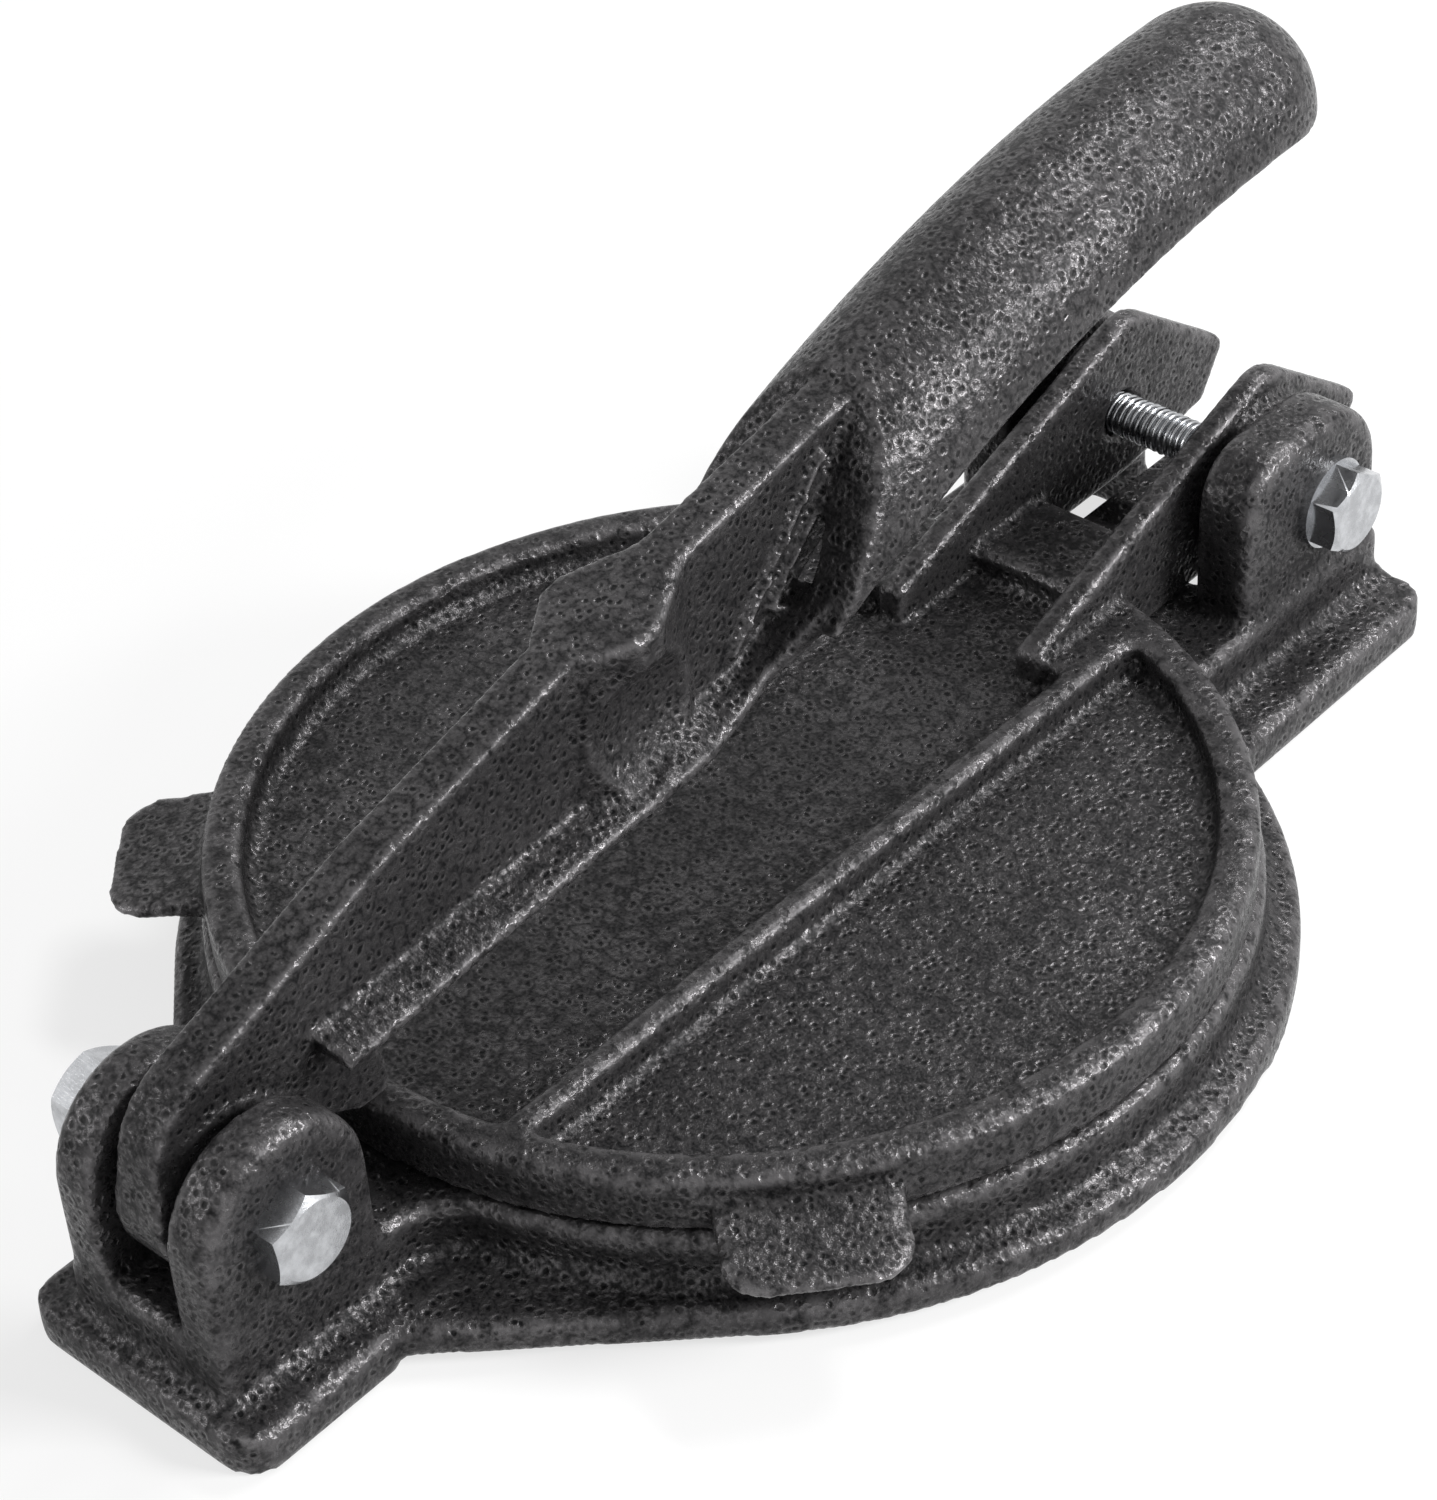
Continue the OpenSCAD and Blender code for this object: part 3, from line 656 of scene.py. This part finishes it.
def threaded_bolt(node, axis_point, finish, hardware):
    """A hexagon bolt whose shank carries a thread from under its head to its end."""
    nut_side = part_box(node)[0][0]
    mesh = merged_copy(node)
    seat = min(v.co.x for v in mesh.vertices
               if math.hypot(v.co.y - axis_point.y, v.co.z - axis_point.z) > BOLT_RADIUS * 1.2)
    shape = bmesh.new()
    shape.from_mesh(mesh)
    shank_points = [v for v in shape.verts if v.co.x < seat - 0.0002]
    bmesh.ops.delete(shape, geom=shank_points, context="VERTS")
    bmesh.ops.holes_fill(shape, edges=[e for e in shape.edges if e.is_boundary])
    bmesh.ops.recalc_face_normals(shape, faces=shape.faces)
    shape.to_mesh(mesh)
    shape.free()
    tree = bpy.data.node_groups.get("screw_thread") or thread_tree(finish)
    shank = add_object(node + "_thread", bpy.data.meshes.new(node + "_thread"))
    modifier = shank.modifiers.new("thread", "NODES")
    modifier.node_group = tree
    sockets = {s.name: s.identifier for s in tree.interface.items_tree if s.in_out == "INPUT"}
    modifier[sockets["Crest radius"]] = BOLT_RADIUS - THREAD_CLEARANCE
    modifier[sockets["Depth"]] = hardware.thread_depth
    modifier[sockets["Pitch"]] = hardware.thread_pitch
    modifier[sockets["Length"]] = seat - nut_side
    bake(shank)
    shank.data.transform(Matrix.Translation((nut_side, axis_point.y, axis_point.z)))
    piece = add_object(node + "_steel", joined_mesh(node + "_steel", (mesh, shank.data)))
    bpy.data.objects.remove(shank)
    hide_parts(node)
    dress(piece, body_of_node(node), finish)


class PRESS_OT_bolts(bpy.types.Operator):
    """Make the two threaded bolts, and plate the nuts and washers"""

    bl_idname = "tortilla_press.bolts"
    bl_label = "Bolts and Nuts"

    def execute(self, context):
        hardware = context.scene.press_hardware
        finish = material("zinc_plate", zinc_material, hardware)
        threaded_bolt("lever_bolt", LEVER_AXIS, finish, hardware)
        threaded_bolt("hinge_bolt", HINGE_AXIS, finish, hardware)
        for node in ("lever_nut", "lever_washer", "hinge_nut", "hinge_washer"):
            for slot in frame["nodes"][node].material_slots:
                slot.material = finish
        return {"FINISHED"}


# ---------------------------------------------------------------- stage


def add_lamp(name, lamp, power):
    """A soft lamp that points at the lamps' target."""
    place, length, width = lamp
    light = bpy.data.lights.new(name, "AREA")
    light.energy = power
    light.shape, light.size, light.size_y = "RECTANGLE", length, width
    holder = bpy.data.objects.new(name, light)
    holder.location = place
    aim = LAMP_TARGET - Vector(place)
    holder.rotation_euler = aim.to_track_quat("-Z", "Y").to_euler()
    bpy.context.scene.collection.objects.link(holder)


def add_camera():
    """The scene's camera, built from its three angles."""
    azimuth, elevation, roll = (math.radians(angle) for angle in CAMERA_ANGLES)
    right = Vector((math.cos(azimuth), math.sin(azimuth), 0))
    back = Vector((math.sin(azimuth) * math.cos(elevation),
                   -math.cos(azimuth) * math.cos(elevation), math.sin(elevation)))
    up = back.cross(right)
    across = right * math.cos(roll) + up * math.sin(roll)
    upward = up * math.cos(roll) - right * math.sin(roll)
    data = bpy.data.cameras.new("camera")
    data.sensor_width = SENSOR_SIZE
    data.lens = FOCAL_RATIO * SENSOR_SIZE
    camera = bpy.data.objects.new("camera", data)
    place = CAMERA_AIM + back * CAMERA_DISTANCE
    turn = Matrix((across, upward, back)).transposed().to_4x4()
    camera.matrix_world = Matrix.Translation(place) @ turn
    bpy.context.scene.collection.objects.link(camera)
    bpy.context.scene.camera = camera


def add_floor(look):
    """A plain floor under the lowest point of the press."""
    shape = bmesh.new()
    bmesh.ops.create_grid(shape, x_segments=1, y_segments=1, size=FLOOR_HALF)
    mesh = mesh_from(shape, "floor")
    mesh.transform(Matrix.Translation((0, 0, CAD_BOX[0][2])))
    mesh.materials.append(
        stage_material("studio_floor", tuple(look.floor_colour), look.floor_whiteness))
    add_object("floor", mesh)


def add_world(look):
    """Even ambient light that shows as plain white behind the object."""
    world = bpy.data.worlds.new("studio")
    world.use_nodes = True
    tree = world.node_tree
    tree.nodes.clear()
    sky, white = (
        add_node(tree, "ShaderNodeBackground", Color=(1, 1, 1, 1), Strength=strength)
        for strength in (look.world_strength, 1.0))
    output = tree.nodes.new("ShaderNodeOutputWorld")
    mix_shaders(tree, direct_rays(tree), sky, white, output)
    bpy.context.scene.world = world


class PRESS_OT_stage(bpy.types.Operator):
    """Set up the floor, the lamps, the ambient light and the camera"""

    bl_idname = "tortilla_press.stage"
    bl_label = "Stage"

    def execute(self, context):
        look = context.scene.press_stage
        add_floor(look)
        add_lamp("key", KEY_LAMP, look.key_power)
        add_lamp("back", BACK_LAMP, look.back_power)
        add_lamp("front", FRONT_LAMP, look.front_power)
        add_world(look)
        context.scene.view_settings.view_transform = "Standard"
        add_camera()
        return {"FINISHED"}


# ---------------------------------------------------------------- panel and registration

STEPS = (PRESS_OT_base_casting, PRESS_OT_plate_casting, PRESS_OT_lever_casting, PRESS_OT_bolts,
         PRESS_OT_stage)


class PRESS_PT_panel(bpy.types.Panel):
    """Steps that finish the tortilla press"""

    bl_idname = "PRESS_PT_panel"
    bl_label = "Tortilla Press"
    bl_space_type = "VIEW_3D"
    bl_region_type = "UI"
    bl_category = "Tortilla Press"

    def draw(self, context):
        for step in STEPS:
            self.layout.operator(step.bl_idname)
        for group in (context.scene.press_castings, context.scene.press_hardware,
                      context.scene.press_stage):
            box = self.layout.box()
            for name in group.bl_rna.properties.keys():
                if name not in {"rna_type", "name"}:
                    box.prop(group, name)


CLASSES = (CastingSettings, HardwareSettings, StageSettings, *STEPS, PRESS_PT_panel)


def register():
    for item in CLASSES:
        bpy.utils.register_class(item)
    bpy.types.Scene.press_castings = PointerProperty(type=CastingSettings)
    bpy.types.Scene.press_hardware = PointerProperty(type=HardwareSettings)
    bpy.types.Scene.press_stage = PointerProperty(type=StageSettings)


def unregister():
    for name in ("press_castings", "press_hardware", "press_stage"):
        delattr(bpy.types.Scene, name)
    for item in reversed(CLASSES):
        bpy.utils.unregister_class(item)


def main():
    register()
    bpy.ops.tortilla_press.base_casting()
    bpy.ops.tortilla_press.plate_casting()
    bpy.ops.tortilla_press.lever_casting()
    bpy.ops.tortilla_press.bolts()
    bpy.ops.tortilla_press.stage()


if __name__ == "__main__":
    main()
